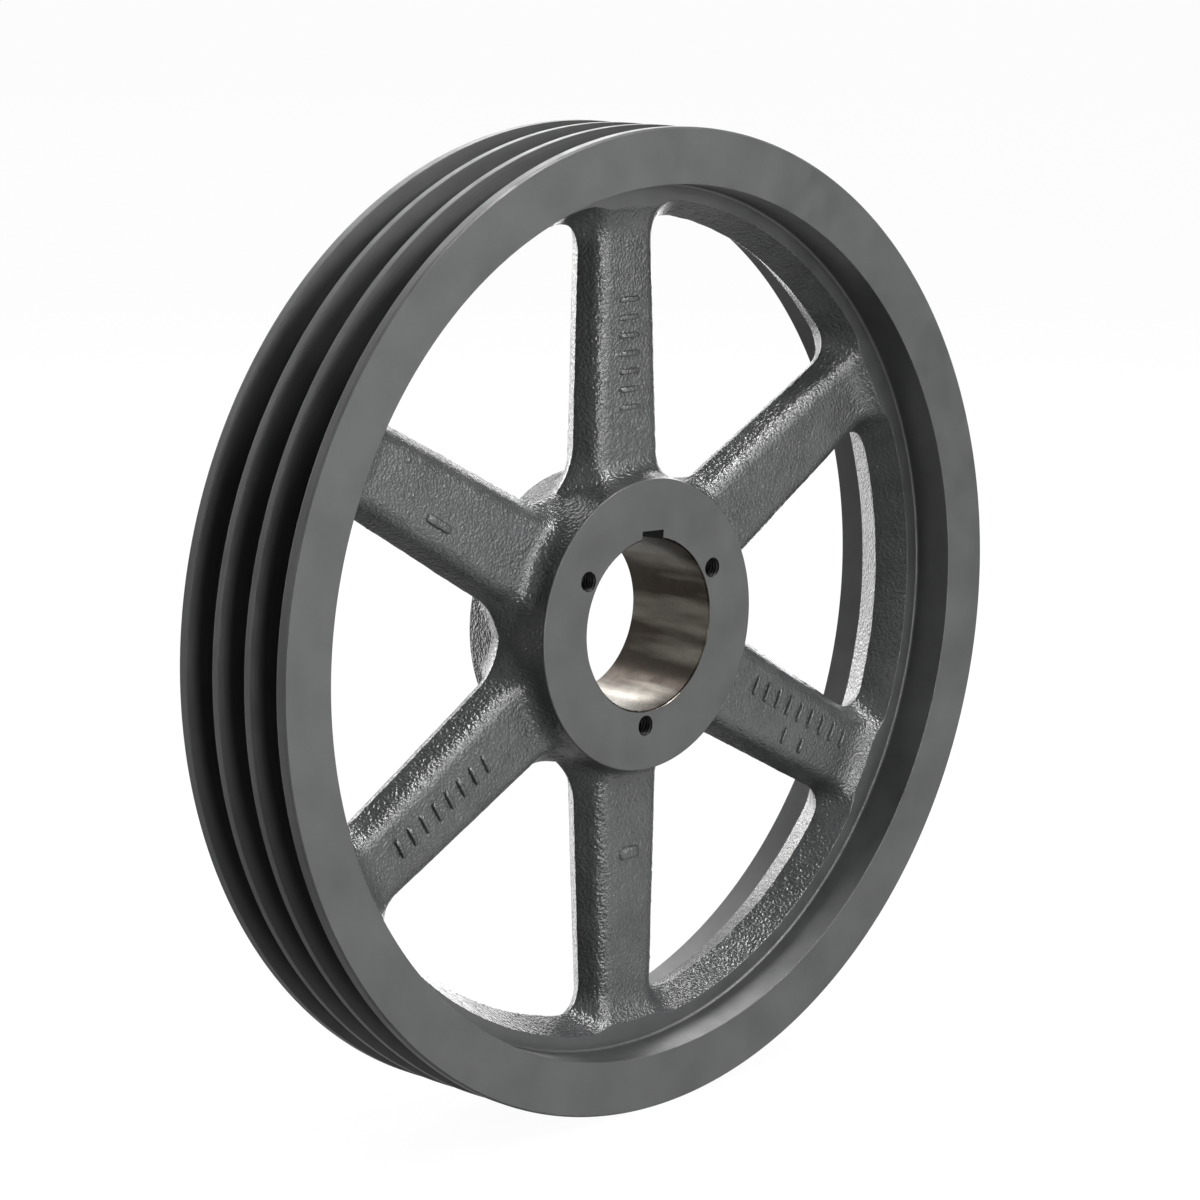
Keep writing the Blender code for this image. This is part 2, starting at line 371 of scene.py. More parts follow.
class Wiring:
    """Adds nodes to one material and joins them."""

    def __init__(self, name: str) -> None:
        """Start a material with its shader ready.

        Args:
            name: The material's name.
        """
        self.result = bpy.data.materials.new(name)
        self.result.use_nodes = True
        self.nodes = self.result.node_tree.nodes
        self.shader = self.nodes["Principled BSDF"]
        self.place = self.nodes.new("ShaderNodeTexCoord").outputs["Object"]

    def node(
        self, kind: str, inputs: dict[str | int, object], **settings: object
    ) -> bpy.types.Node:
        """Add a node, set its options and fill or link its inputs.

        Args:
            kind: The node's type, without the leading ShaderNode.
            inputs: Values, or sockets to link from, by input name or number.
            **settings: Options of the node itself.

        Returns:
            The new node.
        """
        made = self.nodes.new("ShaderNode" + kind)
        for key, value in settings.items():
            setattr(made, key, value)
        for key, value in inputs.items():
            self.feed(made.inputs[key], value)
        return made

    def feed(self, socket: bpy.types.NodeSocket, value: object) -> None:
        """Link a socket into another, or set its value.

        Args:
            socket: The input to fill.
            value: An output to link from, or a plain value.
        """
        if isinstance(value, bpy.types.NodeSocket):
            self.result.node_tree.links.new(value, socket)
        else:
            socket.default_value = value

    def noise(
        self, size_mm: float, detail: float = 2.0, roughness: float = 0.5, along: object = None
    ) -> Socket:
        """Cloudy noise with features of about this many millimetres, at another place if given."""
        inputs = {"Vector": along or self.place, "Scale": 1000.0 / size_mm, "Detail": detail}
        return self.node("TexNoise", inputs | {"Roughness": roughness}).outputs["Fac"]

    def math(self, operation: str, *values: object) -> Socket:
        """One arithmetic node on numbers or sockets."""
        return self.node("Math", dict(enumerate(values)), operation=operation).outputs[0]

    def spread(
        self, value: object, low: float, high: float, at: tuple[float, float] = (0.3, 0.7)
    ) -> Socket:
        """Carry a value from the span at onto the span low to high, held at its ends."""
        inputs = {0: value, 1: at[0], 2: at[1], 3: low, 4: high}
        return self.node("MapRange", inputs, clamp=True).outputs[0]

    def tint(self, share: object, first: Colour, second: Colour) -> None:
        """Colour the shader by a mix of two colours.

        Args:
            share: How much of the second, from 0 to 1.
            first: The colour at 0.
            second: The colour at 1.
        """
        made = self.nodes.new("ShaderNodeMix")
        made.data_type = "RGBA"
        for number, value in ((0, share), (6, first), (7, second)):
            self.feed(made.inputs[number], value)
        self.feed(self.shader.inputs["Base Color"], made.outputs[2])

    def gloss(self, value: object, span: tuple[float, float]) -> None:
        """Vary the shader's roughness over a span by a value."""
        self.feed(self.shader.inputs["Roughness"], self.spread(value, *span))

    def square(self, value: object) -> Socket:
        """A value times itself."""
        return self.math("MULTIPLY", value, value)

    def lathe_marks(self, pitch_mm: float) -> Socket:
        """Noise that runs round the axis, as a lathe tool leaves it.

        It reads one-dimensional noise at radius plus axial place, so a flat face gets rings
        and a cylinder gets fine hoops.

        Args:
            pitch_mm: Spacing of the marks.

        Returns:
            The noise.
        """
        parts = self.node("SeparateXYZ", {0: self.place}).outputs
        squares = self.math("ADD", self.square(parts[0]), self.square(parts[2]))
        radius = self.math("SQRT", squares)
        along = self.math("MULTIPLY", self.math("ADD", radius, parts[1]), 1000.0 / pitch_mm)
        inputs = {"W": along, "Scale": 1.0, "Detail": 3.0, "Roughness": 0.6}
        return self.node("TexNoise", inputs, noise_dimensions="1D").outputs["Fac"]

    def bump(self, layers: Sequence[tuple[Socket, float]]) -> None:
        """Stack bumps under the shader's normal.

        Args:
            layers: For each, a height and the millimetres that 0 to 1 stands for.
        """
        normal: object = None
        for height, depth_mm in layers:
            inputs: dict[str | int, object] = {"Height": height, "Strength": 1.0}
            inputs["Distance"] = depth_mm * METRES
            if normal is not None:
                inputs["Normal"] = normal
            normal = self.node("Bump", inputs).outputs["Normal"]
        self.feed(self.shader.inputs["Normal"], normal)


class Finish:
    """A surface finish, which makes its material once."""

    def name(self) -> str:
        """The material's name."""
        words = ("_" + c.lower() if c.isupper() else c for c in type(self).__name__)
        return "".join(words).strip("_")

    def material(self) -> bpy.types.Material:
        """The finish's material, made on first use.

        Returns:
            The material.
        """
        if self.name() not in bpy.data.materials:
            self.mix(Wiring(self.name()))
        return bpy.data.materials[self.name()]

    def mix(self, wiring: Wiring) -> None:
        """Wire the shader; each finish has its own way."""
        raise NotImplementedError


@dataclass(frozen=True)
class CastEnamel(Finish):
    """Dark grey enamel dipped over sand-cast iron: glossy, pebbled and a little uneven."""

    light: Colour = (0.030, 0.031, 0.0315, 1.0)
    dark: Colour = (0.020, 0.0208, 0.0212, 1.0)
    roughness: tuple[float, float] = (0.16, 0.27)
    fine_grain_mm: float = 0.12
    coarse_grain_mm: float = 0.44

    def mix(self, wiring: Wiring) -> None:
        """Cloud the colour and gloss, and add the grain too fine for the mesh.

        Args:
            wiring: The material's nodes.
        """
        cloud = wiring.noise(14.0, detail=4.0)
        wiring.tint(wiring.spread(cloud, 0.0, 1.0), self.dark, self.light)
        wiring.gloss(wiring.noise(5.0, detail=3.0), self.roughness)
        wiring.bump([
            (wiring.noise(1.25, detail=0.8), self.coarse_grain_mm),
            (wiring.noise(0.6, detail=1.0), self.fine_grain_mm),
        ])


@dataclass(frozen=True)
class TurnedEnamel(Finish):
    """The same enamel over faces that were turned on a lathe: satin with faint rings."""

    light: Colour = (0.031, 0.0322, 0.0319, 1.0)
    dark: Colour = (0.018, 0.0188, 0.0186, 1.0)
    roughness: tuple[float, float] = (0.36, 0.48)
    ring_mm: float = 0.006
    cloud_mm: float = 0.02

    def mix(self, wiring: Wiring) -> None:
        """Cloud the colour, and lay lathe rings under a soft orange peel.

        Args:
            wiring: The material's nodes.
        """
        cloud = wiring.noise(28.0, detail=5.0, roughness=0.6)
        wiring.tint(wiring.spread(cloud, 0.0, 1.0), self.dark, self.light)
        wiring.gloss(wiring.noise(9.0, detail=3.0), self.roughness)
        wiring.bump([
            (wiring.lathe_marks(0.9), self.ring_mm),
            (wiring.noise(2.6, detail=2.0), self.cloud_mm),
        ])


@dataclass(frozen=True)
class GrooveCoat(Finish):
    """Painted shade on the groove flanks: near black to stand in for the shade deep in the V, with
    the cutter's hoops showing through.
    """

    # painted shade: these flank colours are near black to stand in for the shade inside the grooves
    light: Colour = (0.013, 0.0133, 0.0135, 1.0)
    dark: Colour = (0.006, 0.0061, 0.0062, 1.0)
    shine: float = 0.32
    roughness: tuple[float, float] = (0.42, 0.55)
    ring_mm: float = 0.012

    def mix(self, wiring: Wiring) -> None:
        """Streak the painted shade round the wheel and bump it with hoops.

        Args:
            wiring: The material's nodes.
        """
        rings = wiring.lathe_marks(0.7)
        # painted shade, streaked round the wheel by the lathe marks
        wiring.tint(wiring.spread(rings, 0.0, 1.0), self.dark, self.light)
        wiring.shader.inputs["Specular IOR Level"].default_value = self.shine
        wiring.gloss(wiring.noise(12.0, detail=3.0), self.roughness)
        wiring.bump([(rings, self.ring_mm)])


@dataclass(frozen=True)
class GrimyCoat(GrooveCoat):
    """The same painted shade, darker still, in the keyway and the threads, where they lie deep in
    shade.
    """

    # painted shade: colours darker than the grooves' stand in for the shade inside the keyway and
    # tapped holes
    light: Colour = (0.006, 0.006, 0.006, 1.0)
    dark: Colour = (0.003, 0.003, 0.003, 1.0)
    shine: float = 0.15


@dataclass(frozen=True)
class BareIron(Finish):
    """Bored iron left unpainted: oily, straw to olive, with rings and handling stains."""

    straw: Colour = (0.23, 0.215, 0.185, 1.0)
    umber: Colour = (0.045, 0.035, 0.027, 1.0)
    roughness: tuple[float, float] = (0.20, 0.34)
    ring_mm: float = 0.008
    band_mm: float = 15.0
    band_stretch: float = 0.16

    def mix(self, wiring: Wiring) -> None:
        """Stain the metal in bands along the axis and hoop it with boring marks.

        Args:
            wiring: The material's nodes.
        """
        rings = wiring.lathe_marks(0.6)
        patches = wiring.noise(11.0, detail=5.0, roughness=0.62)
        stretch = (1.0, self.band_stretch, 1.0)
        drawn = wiring.node("VectorMath", {0: wiring.place, 1: stretch}, operation="MULTIPLY")
        bands = wiring.noise(self.band_mm, detail=3.0, along=drawn.outputs[0])
        banded = wiring.spread(bands, 0.0, 0.85, (0.36, 0.54))
        share = wiring.math("ADD", banded, wiring.spread(patches, 0.0, 0.2))
        wiring.tint(share, self.straw, self.umber)
        wiring.shader.inputs["Metallic"].default_value = 1.0
        wiring.gloss(patches, self.roughness)
        wiring.bump([(rings, self.ring_mm)])


@dataclass(frozen=True)
class PalePaper(Finish):
    """Plain matt white sweep under the wheel."""

    colour: Colour = (0.03, 0.03, 0.03, 1.0)
    glow: float = 0.96

    def mix(self, wiring: Wiring) -> None:
        """A matt white with the faintest clouding.

        Args:
            wiring: The material's nodes.
        """
        nearly = tuple(0.985 * part for part in self.colour[:3]) + (1.0,)
        cloud = wiring.spread(wiring.noise(300.0), 0.0, 1.0)
        wiring.tint(cloud, nearly, self.colour)
        wiring.shader.inputs["Roughness"].default_value = 0.9
        wiring.shader.inputs["Specular IOR Level"].default_value = 0.0
        wiring.shader.inputs["Emission Color"].default_value = (1.0, 1.0, 1.0, 1.0)
        wiring.shader.inputs["Emission Strength"].default_value = self.glow


# ---------------------------------------------------------------- cast spider


@dataclass
class Spider:
    """The as-cast iron between the rim and the hub's faces: six arms, barrel and rim bead.

    It is described by a distance that is below zero inside the metal, in one window's own
    frame: forward from the axis through the window's middle, across it, and up from the
    parting plane. The arms on either side of the window stand at 30 degrees to its middle.
    """

    hub_half_length: float
    shoulder_height: float
    parting_radius: float = 64.5
    face_radius: float = 61.7
    face_break: float = 0.6
    crest_radius: float = 171.3
    bead_slope: float = 0.9
    bead_run: float = 6.4
    edge_radius: float = 178.6
    arm_start: float = 84.0
    arm_half_width: float = 22.4
    arm_taper: float = 0.0344
    arm_half_depth: float = 10.5
    arm_thinning: float = 0.0094
    arm_crown: float = 0.35
    arm_lean: float = 0.568
    arm_round: float = 4.4
    hub_blend: float = 16.0
    hub_top_blend: float = 7.5
    hub_blend_height: float = 11.0
    rim_blend: float = 13.5
    parting_round: float = 0.7
    window_middle: float = 122.0
    window_reach: float = 90.0
    waves: tuple[tuple[float, float], ...] = ((0.16, 21.0), (0.08, 8.0), (0.05, 3.4), (0.05, 1.9))
    nodule_height: float = 0.5
    nodule_size: float = 2.2
    nodule_floor: float = 0.52
    fin_height: float = 0.14
    fin_width: float = 0.45
    columns: int = 900
    half_rows: int = 54
    rays: int = 3001
    edge_points: int = 800
    thick_steps: int = 320

    def soft_height(self, up: Array) -> Array:
        """Height from the parting plane with the crease at it rounded off."""
        return np.sqrt(up * up + self.parting_round**2) - self.parting_round

    def barrel_radius(self, up: Array | float) -> Array:
        """Radius of the hub's drafted outside at a height."""
        draft = (self.parting_radius - self.face_radius) / self.hub_half_length
        return self.parting_radius - draft * self.soft_height(np.asarray(up, float))

    def arm_distance(self, forward: Array, across: Array, up: Array, turn: float) -> Array:
        """Signed distance to one arm, a tapering bar of rounded six-sided section.

        Its face lies a half-depth up, crowned by the square of the place across; its sides
        lean in from the half-width at the parting plane; soft_max rounds the two together.

        Args:
            forward: Places along the window's middle.
            across: Places across it.
            up: Heights from the parting plane.
            turn: The arm's angle from the window's middle.

        Returns:
            The distances.
        """
        along = forward * math.cos(turn) + across * math.sin(turn)
        aside = np.abs(across * math.cos(turn) - forward * math.sin(turn))
        half_width = self.arm_half_width - self.arm_taper * (along - self.arm_start)
        half_depth = self.arm_half_depth - self.arm_thinning * (along - self.arm_start)
        slope = 1.0 / math.hypot(1.0, self.arm_lean)
        side = (aside - half_width + self.arm_lean * self.soft_height(up)) * slope
        face = up - half_depth + self.arm_crown * np.minimum(aside / half_width, 1.2) ** 2
        return soft_max(side, face, self.arm_round)

    def distance(self, forward: Array, across: Array, up: Array) -> Array:
        """Signed distance to the whole casting round one window.

        Args:
            forward: Places along the window's middle.
            across: Places across it.
            up: Heights from the parting plane, either way.

        Returns:
            The distances: arms joined to the barrel, then to the rim's bead.
        """
        up = np.abs(up)
        radius = np.hypot(forward, across)
        turn = math.pi / ARM_COUNT
        arms = np.minimum(
            self.arm_distance(forward, across, up, turn),
            self.arm_distance(forward, across, up, -turn),
        )
        barrel = radius - self.barrel_radius(up)
        lift = eased(0.0, self.hub_blend_height, up)
        reach = self.hub_blend + (self.hub_top_blend - self.hub_blend) * lift
        rise = self.bead_run / self.shoulder_height
        bead = self.crest_radius + rise * self.soft_height(up) - radius
        return soft_min(soft_min(arms, barrel, reach), bead * self.bead_slope, self.rim_blend)

    def heights(self, forward: Array, across: Array) -> Array:
        """Height of the casting's surface over the parting plane, by bisection.

        Args:
            forward: Places along the window's middle.
            across: Places across it.

        Returns:
            The heights.
        """
        low = np.zeros_like(forward)
        high = np.full_like(forward, self.hub_half_length + 4.0)
        for _ in range(BISECTIONS):
            middle = (low + high) / 2
            inside = self.distance(forward, across, middle) < 0
            low, high = np.where(inside, middle, low), np.where(inside, high, middle)
        return (low + high) / 2

    def facing(self, place: Array) -> Array:
        """Outward unit normals in the window's frame, from central differences.

        Args:
            place: Points, ... x 3.

        Returns:
            Their normals, of the same shape.
        """
        step = 0.05
        parts = []
        for axis in range(3):
            shift = np.zeros(3)
            shift[axis] = step
            ahead, behind = place + shift, place - shift
            split = [np.moveaxis(p, -1, 0) for p in (ahead, behind)]
            parts.append(self.distance(*split[0]) - self.distance(*split[1]))
        slope = np.stack(parts, -1)
        return slope / np.linalg.norm(slope, axis=-1, keepdims=True)

    def throat(self) -> Array:
        """The window's outline at the parting plane, over its positive half.

        Rays fan out from inside the window, from its outer middle round to its inner middle,
        and bisection finds where each meets metal.

        Returns:
            The outline's points, n x 2.
        """
        centre, far = self.window_middle, self.window_reach
        angle = np.linspace(0.0, math.pi, self.rays)
        low, high = np.zeros_like(angle), np.full_like(angle, far)
        flat = np.zeros_like(angle)
        for _ in range(BISECTIONS):
            reach = (low + high) / 2
            air = self.distance(centre + reach * np.cos(angle), reach * np.sin(angle), flat) > 0
            low, high = np.where(air, reach, low), np.where(air, high, reach)
        return np.stack([centre + low * np.cos(angle), low * np.sin(angle)], -1)

    def edge(self) -> tuple[list[Array], float]:
        """The casting's outer boundary seen along the axis, over the window's positive half.

        Returns:
            Three runs of points, along the rim's shoulder, down the arm's middle and along the
            hub face's edge, and the radius of that last one.
        """
        turn = math.pi / ARM_COUNT
        hub_radius = float(self.barrel_radius(self.hub_half_length - self.face_break))
        sweep = np.linspace(0.0, turn, self.edge_points)
        reach = np.linspace(self.edge_radius, hub_radius, self.edge_points)
        spoke = np.array([math.cos(turn), math.sin(turn)])
        outer = self.edge_radius * np.stack([np.cos(sweep), np.sin(sweep)], -1)
        inner = hub_radius * np.stack([np.cos(sweep[::-1]), np.sin(sweep[::-1])], -1)
        return [outer, reach[:, None] * spoke, inner], hub_radius

    def ribs(self) -> tuple[Array, Array, Array]:
        """Straight plan lines from the throat to the boundary, over the positive half.

        Each run of the boundary answers to the stretch of throat between the points nearest
        its ends, both cut into the same number of steps of equal length.

        Returns:
            Throat ends, boundary ends, and which of the three runs each line belongs to.
        """
        throat = self.throat()
        runs, _ = self.edge()
        corners = np.array([runs[1][0], runs[1][-1]])
        gaps = np.linalg.norm(throat[None] - corners[:, None], axis=-1)
        cuts = [0, *np.argmin(gaps, axis=1), len(throat) - 1]
        stretches = [throat[a : b + 1] for a, b in zip(cuts, cuts[1:])]
        lengths = [(length_of(a) + length_of(b)) / 2 for a, b in zip(stretches, runs)]
        shares = np.cumsum([0.0, *lengths]) / sum(lengths)
        ends = np.round(shares * (self.columns // 2)).astype(int)
        starts, stops, owner = [], [], []
        for number, (stretch, run) in enumerate(zip(stretches, runs)):
            share = np.linspace(0.0, 1.0, ends[number + 1] - ends[number] + 1)
            keep = slice(0 if number == 0 else 1, None)
            starts.append(spaced(stretch, share)[keep])
            stops.append(spaced(run, share)[keep])
            owner.append(np.full(len(share), number)[keep])
        owner[0][-1] = 1
        return np.concatenate(starts), np.concatenate(stops), np.concatenate(owner)

    def half_skin(self) -> tuple[Array, Array]:
        """The front half of one window's skin, in the window's frame.

        Places are first taken thickly along each rib, the height over each is found, and they
        are then moved along the rib so that steps are equal along the curved surface.

        Returns:
            (half_rows + 1) x columns x 3 places, the parting plane's row first, and for each
            column the run of the boundary that it ends on.
        """
        starts, stops, owner = self.ribs()
        thick = np.linspace(0.0, 1.0, self.thick_steps) ** 1.5
        plan = starts + (stops - starts) * thick[:, None, None]
        up = self.heights(plan[..., 0], plan[..., 1])
        whole = np.concatenate([plan, up[..., None]], -1)
        steps = np.linalg.norm(np.diff(whole, axis=0), axis=-1)
        run = np.concatenate([np.zeros((1, len(starts))), np.cumsum(steps, axis=0)])
        run /= run[-1]
        even = np.linspace(0.0, 1.0, self.half_rows + 1)
        share = np.stack([np.interp(even, run[:, c], thick) for c in range(run.shape[1])], -1)
        plan = starts + (stops - starts) * share[..., None]
        up = self.heights(plan[..., 0], plan[..., 1])
        up[0] = 0.0
        half = np.concatenate([plan, up[..., None]], -1)
        mirrored = half[:, -2:0:-1] * np.array([1.0, -1.0, 1.0])
        return np.concatenate([half, mirrored], 1), np.concatenate([owner, owner[-2:0:-1]])

    def roughness(self, place: Array, owner: Array) -> Array:
        """How far the sand mould's grain lifts the skin, in millimetres.

        Waves of each height and size and a few nodules add up, with a thin fin at the parting
        plane. It fades out at the machined edges.

        Args:
            place: World places, rows x columns x 3.
            owner: The run of the boundary that each column ends on.

        Returns:
            One height for each place.
        """
        waves = sum(h * grain(place, size, n + 1) for n, (h, size) in enumerate(self.waves))
        lumps = np.maximum(grain(place, self.nodule_size, 5) - self.nodule_floor, 0.0)
        fin = np.exp(-((place[..., 1] / self.fin_width) ** 2)) * (1.0 + grain(place, 7.0, 6))
        rows = place.shape[0]
        inward = np.abs(np.arange(rows) - (rows - 1) / 2)
        near = np.clip(((rows - 1) / 2 - inward) / 3.0, 0.0, 1.0)[:, None]
        fade = np.where(owner == 1, 1.0, near)
        return (waves + self.nodule_height * lumps + self.fin_height * fin) * fade

    def build(self) -> list[bpy.types.Object]:
        """Make one skin for each window, from arm middle to arm middle.

        Returns:
            The six pieces.
        """
        half, owner = self.half_skin()
        back = half[:0:-1] * np.array([1.0, 1.0, -1.0])
        skin = np.concatenate([back, half])
        facing = self.facing(skin)
        worlds, normals = [], []
        for window in range(ARM_COUNT):
            turn = math.pi / 3 - window * math.tau / ARM_COUNT
            base = to_world(skin, turn)
            lift = self.roughness(base, owner)
            grown = base + to_world(facing, turn) * lift[..., None]
            beyond = np.hypot(base[..., 0], base[..., 2]) > self.crest_radius - 20.0
            limit = np.where(beyond, self.shoulder_height, self.hub_half_length)
            grown[..., 1] = np.clip(grown[..., 1], -limit, limit)
            worlds.append(grown)
            normals.append(grid_normals(grown, to_world(facing, turn)))
        self.match_edges(normals, owner)
        return [self.make_window(n, worlds[n], normals[n]) for n in range(ARM_COUNT)]

    def match_edges(self, normals: list[Array], owner: Array) -> None:
        """Give neighbouring skins one normal along the arm middle that they share.

        Args:
            normals: Each window's normals, which are changed in place.
            owner: The run of the boundary that each column ends on.
        """
        columns = np.flatnonzero(owner[: self.columns // 2 + 1] == 1)
        mirror = -columns % self.columns
        for window in range(ARM_COUNT):
            after = (window + 1) % ARM_COUNT
            for row in (0, -1):
                both = normals[window][row, mirror] + normals[after][row, columns]
                normals[window][row, mirror] = both
                normals[after][row, columns] = both

    def make_window(self, window: int, place: Array, normals: Array) -> bpy.types.Object:
        """Make the piece round one window.

        Args:
            window: Its number, clockwise from the one right of the upright arm.
            place: World places, rows x columns x 3.
            normals: Outward directions at them.

        Returns:
            The piece, standing for the arm on its left and, for the first, the rim's web.
        """
        sheet = grid_sheet(place, normals, closed=True)
        cut = np.abs(np.abs(sheet.points[:, 1]) - self.shoulder_height) < 1e-6
        sheet.slots = cut[sheet.quads].all(axis=1).astype(int)
        piece = make_piece(f"cast_window_{window + 1}", sheet, [CastEnamel(), TurnedEnamel()])
        stands_for = [f"arm_{window + 1}"] + (["rim_web"] if window == 0 else [])
        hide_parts(*stands_for)
        return piece


def length_of(run: Array) -> float:
    """Length of a run of points."""
    return float(np.linalg.norm(np.diff(run, axis=0), axis=1).sum())


def spaced(run: Array, share: Array) -> Array:
    """Points spaced along a run.

    Args:
        run: The run's points.
        share: Shares of its length, from 0 to 1.

    Returns:
        The points at those shares.
    """
    steps = np.linalg.norm(np.diff(run, axis=0), axis=1)
    place = np.concatenate([[0.0], np.cumsum(steps)])
    place /= place[-1]
    return np.stack([np.interp(share, place, run[:, axis]) for axis in range(run.shape[1])], -1)


def to_world(vectors: Array, turn: float) -> Array:
    """Carry (forward, across, up) in a window's frame to world axes.

    Forward and across turn by the window's angle in the wheel's plane, and up, towards the
    tapped side, is -Y.

    Args:
        vectors: Points or directions, ... x 3.
        turn: The window's angle.

    Returns:
        The same in world axes.
    """
    forward, across, up = np.moveaxis(vectors, -1, 0)
    x = forward * math.cos(turn) - across * math.sin(turn)
    z = forward * math.sin(turn) + across * math.cos(turn)
    return np.stack([x, -up, z], -1)


def grid_normals(place: Array, roughly: Array) -> Array:
    """Unit normals of a grid closed along its rows.

    They are the cross product of the differences between each point's neighbours.

    Args:
        place: The grid's points.
        roughly: Directions on the side that the normals should point to.

    Returns:
        The normals.
    """
    around = np.roll(place, -1, axis=1) - np.roll(place, 1, axis=1)
    along = np.gradient(place, axis=0)
    normals = np.cross(around, along)
    normals *= np.sign(np.einsum("...i,...i->...", normals, roughly))[..., None]
    return normals / np.maximum(np.linalg.norm(normals, axis=-1, keepdims=True), TINY)


# ---------------------------------------------------------------- turned rim


@dataclass
class Rim:
    """The turned rim: side faces, recess walls and shoulders, and the belt grooves."""

    outer_radius: float
    half_face: float
    recess_radius: float
    shoulder_height: float
    shoulder_inner: float
    groove_count: int = 3
    groove_pitch: float = 19.05
    groove_top: float = 16.0
    groove_depth: float = 16.5
    groove_angle: float = math.radians(38.0)
    edge_break: float = 0.8
    lip_round: float = 0.35
    corner_round: float = 1.2
    floor_round: float = 1.0
    split_drop: float = 0.3
    count: int = 720

    def split_height(self) -> float:
        """Where on the edge land a side ring meets the groove ring."""
        land = (self.groove_pitch * (self.groove_count - 1) + self.groove_top) / 2
        return (self.half_face + land) / 2 - self.split_drop

    def side_ring(self, side: Side) -> Sheet:
        """One side of the rim, from the shoulder in its recess round to its edge land.

        Args:
            side: Which side.

        Returns:
            The turned ring.
        """
        split = self.split_height()
        corners = np.array([
            (self.shoulder_inner, self.shoulder_height - 1.0),
            (self.shoulder_inner, self.shoulder_height),
            (self.recess_radius, self.shoulder_height),
            (self.recess_radius, self.half_face),
            (self.outer_radius - self.edge_break, self.half_face),
            (self.outer_radius, self.half_face - self.edge_break),
            (self.outer_radius, split),
        ])
        radii = [0.0, self.corner_round, self.lip_round, 0.25, 0.25]
        path, normals = rounded_path(corners, radii)
        flip = np.array([1.0, float(side.value)])
        return turned(path * flip, normals * flip, self.count)

    def groove_ring(self) -> Sheet:
        """The belt grooves and the ridges between them.

        Returns:
            The turned ring, with the ridge tops and edge lands in slot 1.
        """
        lean = self.groove_depth * math.tan(self.groove_angle / 2)
        half_top = self.groove_top / 2
        floor = self.outer_radius - self.groove_depth
        centres = self.groove_pitch * (np.arange(self.groove_count) - (self.groove_count - 1) / 2)
        split = self.split_height()
        offsets = np.array([half_top, half_top - lean, lean - half_top, -half_top])
        heights = (centres[::-1, None] + offsets).ravel()
        radii = np.tile([self.outer_radius, floor, floor, self.outer_radius], self.groove_count)
        inner = np.stack([radii, heights], -1)
        ends = np.array([[self.outer_radius, split], [self.outer_radius, -split]])
        corners = np.concatenate([ends[:1], inner, ends[1:]])
        rounds = [self.lip_round, self.floor_round, self.floor_round, self.lip_round]
        path, normals = rounded_path(corners, np.tile(rounds, self.groove_count))
        middle = (path[:-1, 0] + path[1:, 0]) / 2
        # flanks and floors fall in slot 0, which takes the groove's painted shade
        slots = (middle > self.outer_radius - 0.6 * self.lip_round).astype(int)
        return turned(path, normals, self.count, slots)

    def build(self) -> list[bpy.types.Object]:
        """Make the two side rings and the groove ring.

        Returns:
            The three pieces.
        """
        enamel = TurnedEnamel()
        front = make_piece("rim_tapped_side", self.side_ring(Side.TAPPED), [enamel])
        back = make_piece("rim_plain_side", self.side_ring(Side.PLAIN), [enamel])
        # the groove flanks take painted shade; the ridge tops and edge lands take the turned enamel
        grooves = make_piece("belt_grooves", self.groove_ring(), [GrooveCoat(), enamel])
        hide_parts("front_flange", "rim_band")
        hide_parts("back_flange")
        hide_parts("groove_ridge_1", "groove_ridge_2")
        return [front, back, grooves]


# ---------------------------------------------------------------- turned hub


